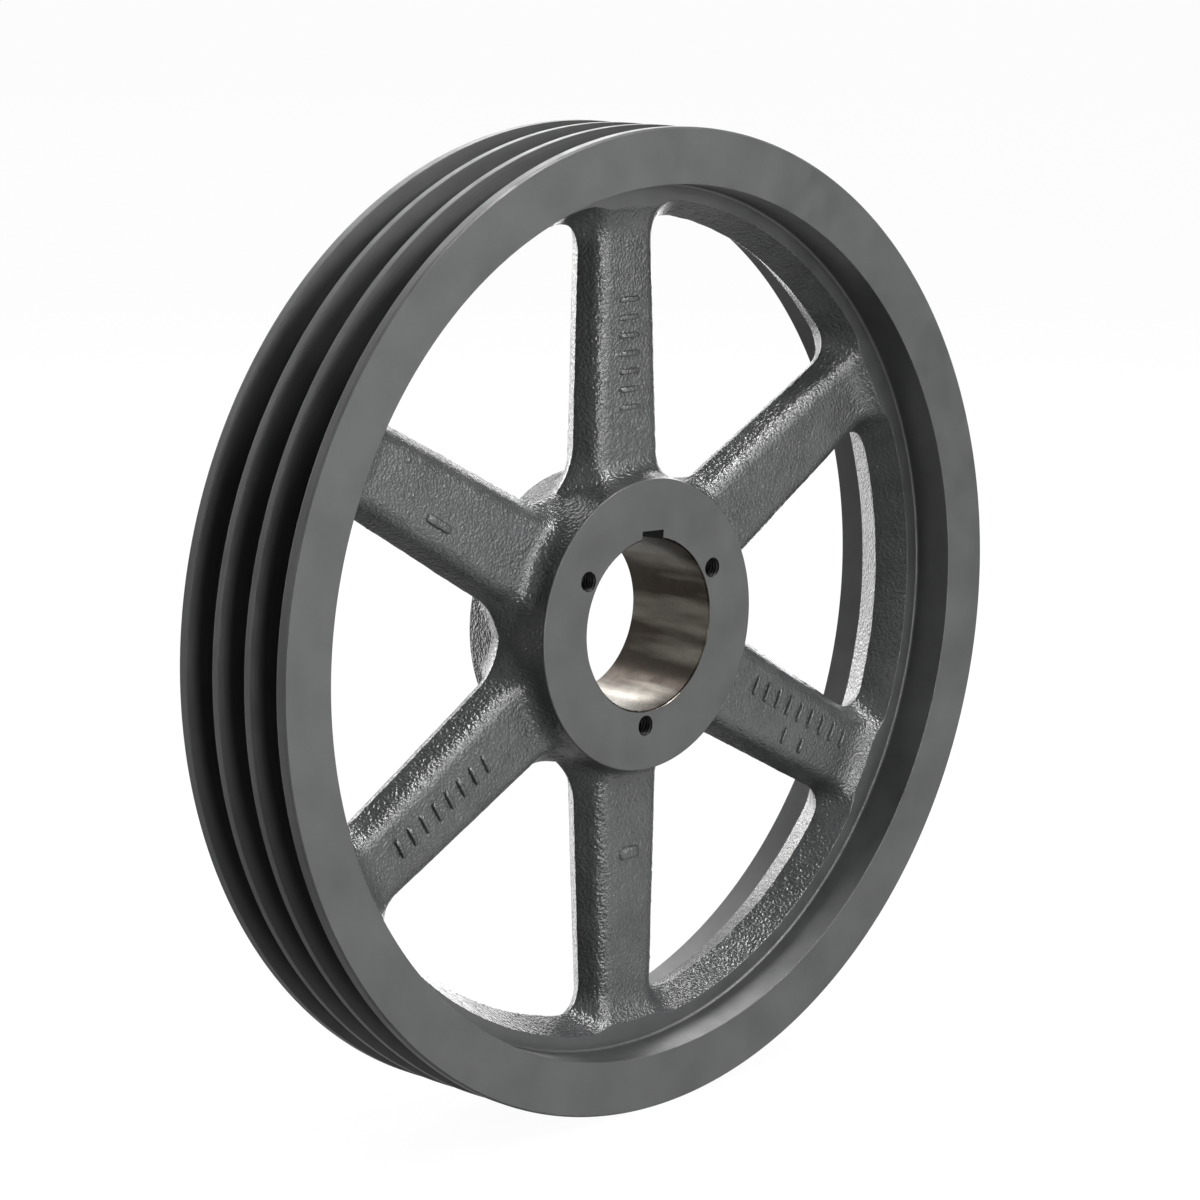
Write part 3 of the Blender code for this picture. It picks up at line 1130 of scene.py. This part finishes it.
@dataclass
class Hub:
    """The hub's machined parts: two faces, tapered keyed bore and three tapped holes."""

    half_length: float
    edge_radius: float
    face_radius: float
    face_break: float
    edge_round: float = 0.45
    bore_radius: float = 36.5125
    bore_break: float = 0.6
    taper: float = 0.375 / 12
    key_half_width: float = 6.35
    key_top: float = 40.0
    key_angle: float = math.radians(87.0)
    hole_circle: float = 42.8625
    hole_radius: float = 4.35
    hole_sector: float = math.radians(8.0)
    hole_angles: tuple[float, ...] = (math.radians(60), math.radians(180), math.radians(300))
    thread_crest: float = 4.0
    thread_root: float = 4.7
    thread_pitch: float = 25.4 / 16
    thread_slope: float = 1.6
    thread_flat: float = 0.3
    thread_start: float = 0.45
    thread_rows: int = 190
    thread_length: float = 22.0
    hole_depth: float = 28.0

    def radius_at(self, y: Array | float) -> Array:
        """Bore radius at a place along the axis, widest on the tapped side."""
        return self.bore_radius - self.taper * (self.half_length + np.asarray(y, float))

    def key_turn(self, radius: Array | float) -> Array:
        """Angle from the keyway's middle to its side wall at a radius."""
        return np.arcsin(self.key_half_width / np.asarray(radius, float))

    def spun(self, polar: Array, y: Array | float) -> Array:
        """Carry places round the hub to world axes.

        Args:
            polar: (radius, angle from the keyway's middle) pairs.
            y: Their place along the axis.

        Returns:
            World places.
        """
        radius, angle = np.moveaxis(polar, -1, 0)
        turn = self.key_angle + angle
        height = np.broadcast_to(np.asarray(y, float), radius.shape)
        return np.stack([radius * np.cos(turn), height, radius * np.sin(turn)], -1)

    def arc_angles(self, radius: float) -> list[Array]:
        """Angles round the bore from one keyway wall to the other, in seven runs.

        Every second run spans a tapped hole.

        Args:
            radius: Radius of the arc, which sets where the keyway's walls cut it.

        Returns:
            The seven runs of angles.
        """
        wall = float(self.key_turn(radius))
        stops = [wall]
        for angle in self.hole_angles:
            stops += [angle - self.hole_sector, angle + self.hole_sector]
        stops.append(math.tau - wall)
        counts = [2 * max(6, round(math.degrees(b - a) / 2.5)) for a, b in zip(stops, stops[1:])]
        return [np.linspace(a, b, n + 1) for a, b, n in zip(stops, stops[1:], counts)]

    def key_outline(self, radius: float) -> Array:
        """The keyway's section from one bore edge over its top to the other.

        Args:
            radius: Radius of the bore.

        Returns:
            (radius, angle) pairs.
        """
        half = self.key_half_width
        foot = math.sqrt(radius**2 - half**2)
        side = np.linspace(foot, self.key_top, KEY_SIDE)
        width = np.linspace(-half, half, KEY_TOP)
        right = np.stack([side, np.full(KEY_SIDE, -half)], -1)
        top = np.stack([np.full(KEY_TOP, self.key_top), width], -1)
        left = np.stack([side[::-1], np.full(KEY_SIDE, half)], -1)
        line = np.concatenate([right, top[1:-1], left])
        return np.stack([np.hypot(*line.T), np.arctan2(line[:, 1], line[:, 0])], -1)

    def ring_patch(self, inner: Array, outer_radius: float, y: float, out: Array) -> Sheet:
        """Flat patch between an inner line and a circle, at the same angles.

        Args:
            inner: (radius, angle) pairs.
            outer_radius: The circle's radius.
            y: The patch's place along the axis.
            out: Its outward direction.

        Returns:
            The patch.
        """
        outer = np.stack([np.full(len(inner), outer_radius), inner[:, 1]], -1)
        share = np.linspace(0.0, 1.0, 7)[:, None, None]
        return grid_sheet(self.spun(inner + (outer - inner) * share, y), out)

    def hole_patch(
        self, angles: Array, inner_radius: float, outer_radius: float, y: float, out: Array
    ) -> Sheet:
        """Flat patch round one tapped hole.

        A closed line runs round the patch's border; each of its points is joined by a straight
        line to the hole's edge in the same direction from the hole's middle.

        Args:
            angles: The patch's run of angles.
            inner_radius: Radius of its inner border.
            outer_radius: Radius of its outer border.
            y: Its place along the axis.
            out: Its outward direction.

        Returns:
            The patch.
        """
        spokes = np.linspace(inner_radius, outer_radius, 7)
        low, high = angles[0], angles[-1]
        border = np.concatenate([
            np.stack([np.full(len(angles), inner_radius), angles], -1)[:-1],
            np.stack([spokes, np.full(7, high)], -1)[:-1],
            np.stack([np.full(len(angles), outer_radius), angles[::-1]], -1)[:-1],
            np.stack([spokes[::-1], np.full(7, low)], -1)[:-1],
        ])
        edge = self.spun(border, y)
        middle = self.spun(np.array([self.hole_circle, (low + high) / 2]), y)
        ray = edge - middle
        ray /= np.linalg.norm(ray, axis=-1, keepdims=True)
        rim = middle + self.hole_radius * ray
        share = np.linspace(0.0, 1.0, 7)[:, None, None]
        return grid_sheet(rim + (edge - rim) * share, out, closed=True)

    def face(self, side: Side) -> Sheet:
        """One flat face of the hub with its broken outer edge.

        Args:
            side: Which face; only the tapped one has holes.

        Returns:
            The face.
        """
        y = side.value * self.half_length
        out = np.array([0.0, float(side.value), 0.0])
        opening = float(self.radius_at(y)) + self.bore_break
        flat_radius = self.face_radius - self.face_break
        sheets = []
        for number, angles in enumerate(self.arc_angles(opening)):
            if number % 2 and side is Side.TAPPED:
                sheets.append(self.hole_patch(angles, opening, flat_radius, y, out))
            else:
                line = np.stack([np.full(len(angles), opening), angles], -1)
                sheets.append(self.ring_patch(line, flat_radius, y, out))
        sheets.append(self.ring_patch(self.key_outline(opening), flat_radius, y, out))
        runs = [run[:-1] for run in self.arc_angles(opening)]
        runs.append(self.key_outline(opening)[:-1, 1] + math.tau)
        inside = y - side.value * self.face_break
        corners = np.array([(flat_radius, y), (self.face_radius, y), (self.edge_radius, inside)])
        path, normals = rounded_path(corners, [self.edge_round])
        spoke = spokes(self.key_angle + np.concatenate(runs))
        facing = carried(normals * float(side.value), spoke)
        sheets.append(grid_sheet(carried(path, spoke), facing, closed=True))
        return joined(sheets)

    def bore(self) -> list[Sheet]:
        """The bore's wall with a broken edge at each end, and the keyway's three walls.

        Each station along the axis has its own radius; an arc leads from keyway wall to
        keyway wall at that radius, and the keyway's section closes it.

        Returns:
            The wall, then the keyway.
        """
        half, cut = self.half_length, self.bore_break
        inner = np.linspace(-half + cut, half - cut, 25)
        y = np.concatenate([[-half], inner, [half]])
        radius = self.radius_at(y)
        radius[0] += cut
        radius[-1] += cut
        rows, walls = [], []
        for place, size in zip(y, radius):
            runs = self.arc_angles(size)
            angles = np.concatenate([run[:-1] for run in runs] + [runs[-1][-1:]])
            rows.append(self.spun(np.stack([np.full(len(angles), size), angles], -1), place))
            walls.append(self.spun(self.key_outline(size), place))
        arc = np.array(rows)
        inward = -arc * np.array([1.0, 0.0, 1.0])
        inward /= np.linalg.norm(inward, axis=-1, keepdims=True)
        tilt = np.zeros(len(y))
        tilt[0], tilt[-1] = -1.0, 1.0
        inward[..., 1] += tilt[:, None]
        wall = grid_sheet(arc, inward)
        return [wall, *self.key_walls(np.array(walls))]

    def key_walls(self, section: Array) -> list[Sheet]:
        """The keyway's right wall, top and left wall, each flat.

        Args:
            section: The keyway's section at each place along the axis.

        Returns:
            The three walls.
        """
        turn = self.key_angle
        up = np.array([math.cos(turn), 0.0, math.sin(turn)])
        aside = np.array([-math.sin(turn), 0.0, math.cos(turn)])
        return [
            grid_sheet(section[:, :KEY_SIDE], aside),
            grid_sheet(section[:, KEY_SIDE - 1 : KEY_SIDE + KEY_TOP - 1], -up),
            grid_sheet(section[:, KEY_SIDE + KEY_TOP - 2 :], -aside),
        ]

    def tapped_hole(self, angle: float) -> Sheet:
        """One tapped hole: a broken edge, a right-hand thread and a drilled end.

        The thread's radius at angle a and depth d is set by the phase d / pitch - a / turn: it
        falls from root to crest and climbs back in a flat-topped wave.

        Args:
            angle: The hole's angle from the keyway's middle.

        Returns:
            The hole's wall.
        """
        sides = 48
        around = np.arange(sides) * (math.tau / sides)
        threaded = np.linspace(self.thread_start, self.thread_length, self.thread_rows)
        depth = np.concatenate([[0.0], threaded, [self.hole_depth]])
        phase = (depth[:, None] / self.thread_pitch - around / math.tau) % 1.0
        peak = 1.0 - 2.0 * np.abs(phase - 0.5)
        wave = np.clip(self.thread_slope * peak - self.thread_flat, 0.0, 1.0)
        radius = self.thread_crest + (self.thread_root - self.thread_crest) * wave
        radius = np.minimum(radius, self.hole_radius + 0.12 * depth[:, None] * 4.0)
        radius[0] = self.hole_radius
        radius[-1] = self.thread_crest
        middle = self.spun(np.array([self.hole_circle, angle]), -self.half_length)
        ring = spokes(around)
        places = middle + radius[..., None] * ring + depth[:, None, None] * AXIS
        tip = np.broadcast_to(middle + AXIS * (self.hole_depth + 2.0), (1, sides, 3))
        places = np.concatenate([places, tip])
        roughly = np.broadcast_to(-ring, places.shape)
        return grid_sheet(places, grid_normals(places, roughly - 1e-3 * AXIS), closed=True)

    def build(self) -> list[bpy.types.Object]:
        """Make the faces, the bore and the tapped holes.

        Returns:
            The pieces.
        """
        enamel, iron = TurnedEnamel(), BareIron()
        front = make_piece("hub_tapped_face", self.face(Side.TAPPED), [enamel])
        back = make_piece("hub_plain_face", self.face(Side.PLAIN), [enamel])
        wall, *key = self.bore()
        bore = make_piece("hub_bore", wall, [iron])
        pieces = [front, back, bore]
        # the keyway walls and tapped holes take near-black painted shade
        recess_shade = GrimyCoat()
        pieces += [make_piece(f"keyway_wall_{n + 1}", sheet, [recess_shade]) for n, sheet in enumerate(key)]
        for number, angle in enumerate(self.hole_angles):
            hole = self.tapped_hole(angle)
            pieces.append(make_piece(f"tapped_hole_{number + 1}", hole, [recess_shade]))
        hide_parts("hub")
        return pieces


# ---------------------------------------------------------------- foundry marks


@dataclass(frozen=True)
class MarkRow:
    """A row of plain raised bars on an arm's face, arm 0 straight up and then clockwise."""

    arm: int
    start: float
    pitch: float
    count: int
    aside: float
    length: float = 10.0
    width: float = 2.6


@dataclass
class FoundryMarks:
    """Plain raised bars and a round pad on the arms, where a foundry puts its casting marks."""

    spider: Spider
    rows: tuple[MarkRow, ...] = (
        MarkRow(arm=0, start=91.0, pitch=7.5, count=7, aside=0.0, length=12.6),
        MarkRow(arm=4, start=96.0, pitch=7.7, count=8, aside=1.0),
        MarkRow(arm=2, start=89.0, pitch=8.4, count=9, aside=-5.0),
        MarkRow(arm=2, start=118.0, pitch=13.0, count=2, aside=8.0, length=8.0),
        MarkRow(arm=3, start=100.6, pitch=0.0, count=1, aside=0.0, length=12.6, width=6.0),
        MarkRow(arm=5, start=121.0, pitch=0.0, count=1, aside=-6.3, length=4.4, width=16.0),
    )
    height: float = 1.3
    sunk: float = 0.35
    squareness: float = 0.45

    def bar(self, row: MarkRow, number: int) -> Sheet:
        """One raised bar, laid on the arm's face.

        It is an oblong whose outline raises the cosine and sine to a small power, and its lift
        is the height times the root of one minus the fourth power of the share out from its
        middle, less the sunk depth at the edge.

        Args:
            row: The row that it belongs to.
            number: Its number in the row.

        Returns:
            The bar.
        """
        around = np.arange(40) * (math.tau / 40)
        out = np.linspace(0.0, 1.0, 9)[:, None]
        power = self.squareness
        c, s = np.cos(around), np.sin(around)
        along = row.width / 2 * np.sign(c) * np.abs(c) ** power * out
        aside = row.length / 2 * np.sign(s) * np.abs(s) ** power * out
        lift = self.height * (1.0 - out**4) ** 0.5 - self.sunk * out**4
        reach = row.start + row.pitch * number + along
        across = row.aside + aside
        turn = math.pi / ARM_COUNT
        forward = reach * math.cos(turn) + across * math.sin(turn)
        side = reach * math.sin(turn) - across * math.cos(turn)
        up = self.spider.heights(forward, side) + lift
        place = np.stack([forward, side, up], -1)
        angle = math.pi / 2 - row.arm * math.tau / ARM_COUNT - turn
        world = to_world(place, angle)
        roughly = np.broadcast_to(OUT_OF_TAPPED_SIDE, world.shape)
        return grid_sheet(world, grid_normals(world, roughly), closed=True)

    def build(self) -> list[bpy.types.Object]:
        """Make one piece for each row.

        Returns:
            The pieces.
        """
        pieces = []
        for number, row in enumerate(self.rows):
            sheet = stacked([self.bar(row, n) for n in range(row.count)])
            piece = make_piece(f"cast_marks_{number + 1}", sheet, [CastEnamel()])
            pieces.append(piece)
        return pieces


# ---------------------------------------------------------------- studio


@dataclass(frozen=True)
class Softbox:
    """A square soft lamp at a place, looking at the wheel."""

    name: str
    place: tuple[float, float, float]
    side: float
    watts: float


@dataclass
class Studio:
    """Floor, lamps, sky and camera."""

    floor_height: float
    sweep_reach: float = 12000.0
    camera_place: tuple[float, float, float] = (-1.0728, -1.0602, 0.3071)
    azimuth: float = math.radians(-45.15)
    elevation: float = math.radians(11.23)
    lens: float = 109.208
    sky_strength: float = 0.43
    softboxes: tuple[Softbox, ...] = (
        Softbox("front_high", (0.536, -1.649, 1.354), 0.5, 28.0),
        Softbox("front_top", (0.516, -0.894, 1.942), 0.5, 44.5),
        Softbox("front_level", (0.0, -2.135, 0.532), 0.4, 19.0),
        Softbox("front_right", (1.067, -1.849, 0.532), 0.6, 12.7),
        Softbox("front_low_left", (-0.676, -2.081, -0.230), 0.6, 22.0),
        Softbox("front_low_right", (0.676, -2.081, -0.230), 1.0, 12.5),
        Softbox("front_far_low", (3.75, -3.75, -3.75), 6.0, 85.0),
        Softbox("left_level", (-2.135, 0.0, 0.532), 1.0, 12.0),
        Softbox("back_level", (0.0, 2.135, 0.532), 1.0, 26.0),
        Softbox("back_high", (0.536, 1.649, 1.354), 1.2, 14.6),
        Softbox("back_right", (1.403, 1.019, 1.354), 1.2, 29.0),
        Softbox("back_low_right", (1.770, 1.286, -0.230), 1.0, 9.8),
        Softbox("back_far", (0.0, 6.5, 0.0), 6.0, 356.0),
    )

    def build(self) -> None:
        """Set up everything that isn't the wheel."""
        self.make_floor()
        self.make_sky()
        self.make_camera()
        for box in self.softboxes:
            self.make_lamp(box)
        view = bpy.context.scene.view_settings
        view.view_transform = "Standard"
        view.look = "None"

    def make_floor(self) -> None:
        """A wide matt sheet under the wheel that turns up into a wall and a ceiling far off.

        A path of (reach, height) runs out along the floor, up and back in overhead; the point
        at angle a is (reach cos a, reach sin a, height). The camera sees it, the wheel doesn't,
        so it neither shades nor mirrors in the enamel.
        """
        low, far = self.floor_height, self.sweep_reach
        corners = np.array([(0.0, low), (far, low), (far, far), (0.0, far)])
        path, facing = rounded_path(corners, [far / 4, far / 4], steps=12)
        up = np.array([0.0, 0.0, 1.0])
        spoke = spokes(np.arange(96) * (math.tau / 96))[:, [0, 2, 1]]
        sheet = grid_sheet(carried(path, spoke, up), carried(facing, spoke, up), closed=True)
        floor = make_piece("floor", sheet, [PalePaper()])
        floor.parent = None
        del floor["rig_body"]
        floor.visible_diffuse = floor.visible_glossy = floor.visible_shadow = False

    def make_sky(self) -> None:
        """A plain pale sky."""
        world = bpy.data.worlds.new("pale_sky")
        world.use_nodes = True
        background = world.node_tree.nodes["Background"]
        background.inputs[0].default_value = (1.0, 1.0, 1.0, 1.0)
        background.inputs[1].default_value = self.sky_strength
        bpy.context.scene.world = world

    def make_camera(self) -> None:
        """The camera, looking level with the horizon upright."""
        camera = bpy.data.objects.new("camera", bpy.data.cameras.new("camera"))
        camera.data.lens = self.lens
        camera.data.sensor_width = 36.0
        camera.location = self.camera_place
        camera.rotation_euler = (math.pi / 2 - self.elevation, 0.0, self.azimuth)
        bpy.context.scene.collection.objects.link(camera)
        bpy.context.scene.camera = camera

    def make_lamp(self, box: Softbox) -> None:
        """One softbox aimed at the wheel's centre.

        Args:
            box: Its place, size and power.
        """
        lamp = bpy.data.objects.new(box.name, bpy.data.lights.new(box.name, "AREA"))
        lamp.data.size = box.side
        lamp.data.energy = box.watts
        lamp.visible_camera = False
        lamp.location = box.place
        lamp.rotation_euler = (-Vector(box.place)).to_track_quat("-Z", "Y").to_euler()
        bpy.context.scene.collection.objects.link(lamp)


# ---------------------------------------------------------------- assembly


def box_of(node: str) -> tuple[Array, Array]:
    """A CAD node's lowest and highest corners in millimetres."""
    low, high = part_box(node)
    return np.array(low) / METRES, np.array(high) / METRES


def main() -> None:
    """Build the wheel in the order it is made: casting, rim, hub, marks; then the studio."""
    logging.basicConfig(level=logging.INFO, format="%(name)s %(message)s")
    hub_half = float(box_of("hub")[1][1])
    web_high = box_of("rim_web")[1]
    rim_high = box_of("rim_band")[1]
    spider = Spider(hub_half_length=hub_half, shoulder_height=float(web_high[1]))
    spider.build()
    rim = Rim(
        outer_radius=float(box_of("front_flange")[1][2]),
        half_face=float(rim_high[1]),
        recess_radius=float(web_high[2]) + CAD_GAP,
        shoulder_height=spider.shoulder_height,
        shoulder_inner=spider.edge_radius,
    )
    rim.build()
    hub = Hub(
        half_length=hub_half,
        edge_radius=spider.edge()[1],
        face_radius=spider.face_radius,
        face_break=spider.face_break,
    )
    hub.build()
    FoundryMarks(spider).build()
    Studio(floor_height=-rim.outer_radius - 0.05).build()


if __name__ == "__main__":
    main()
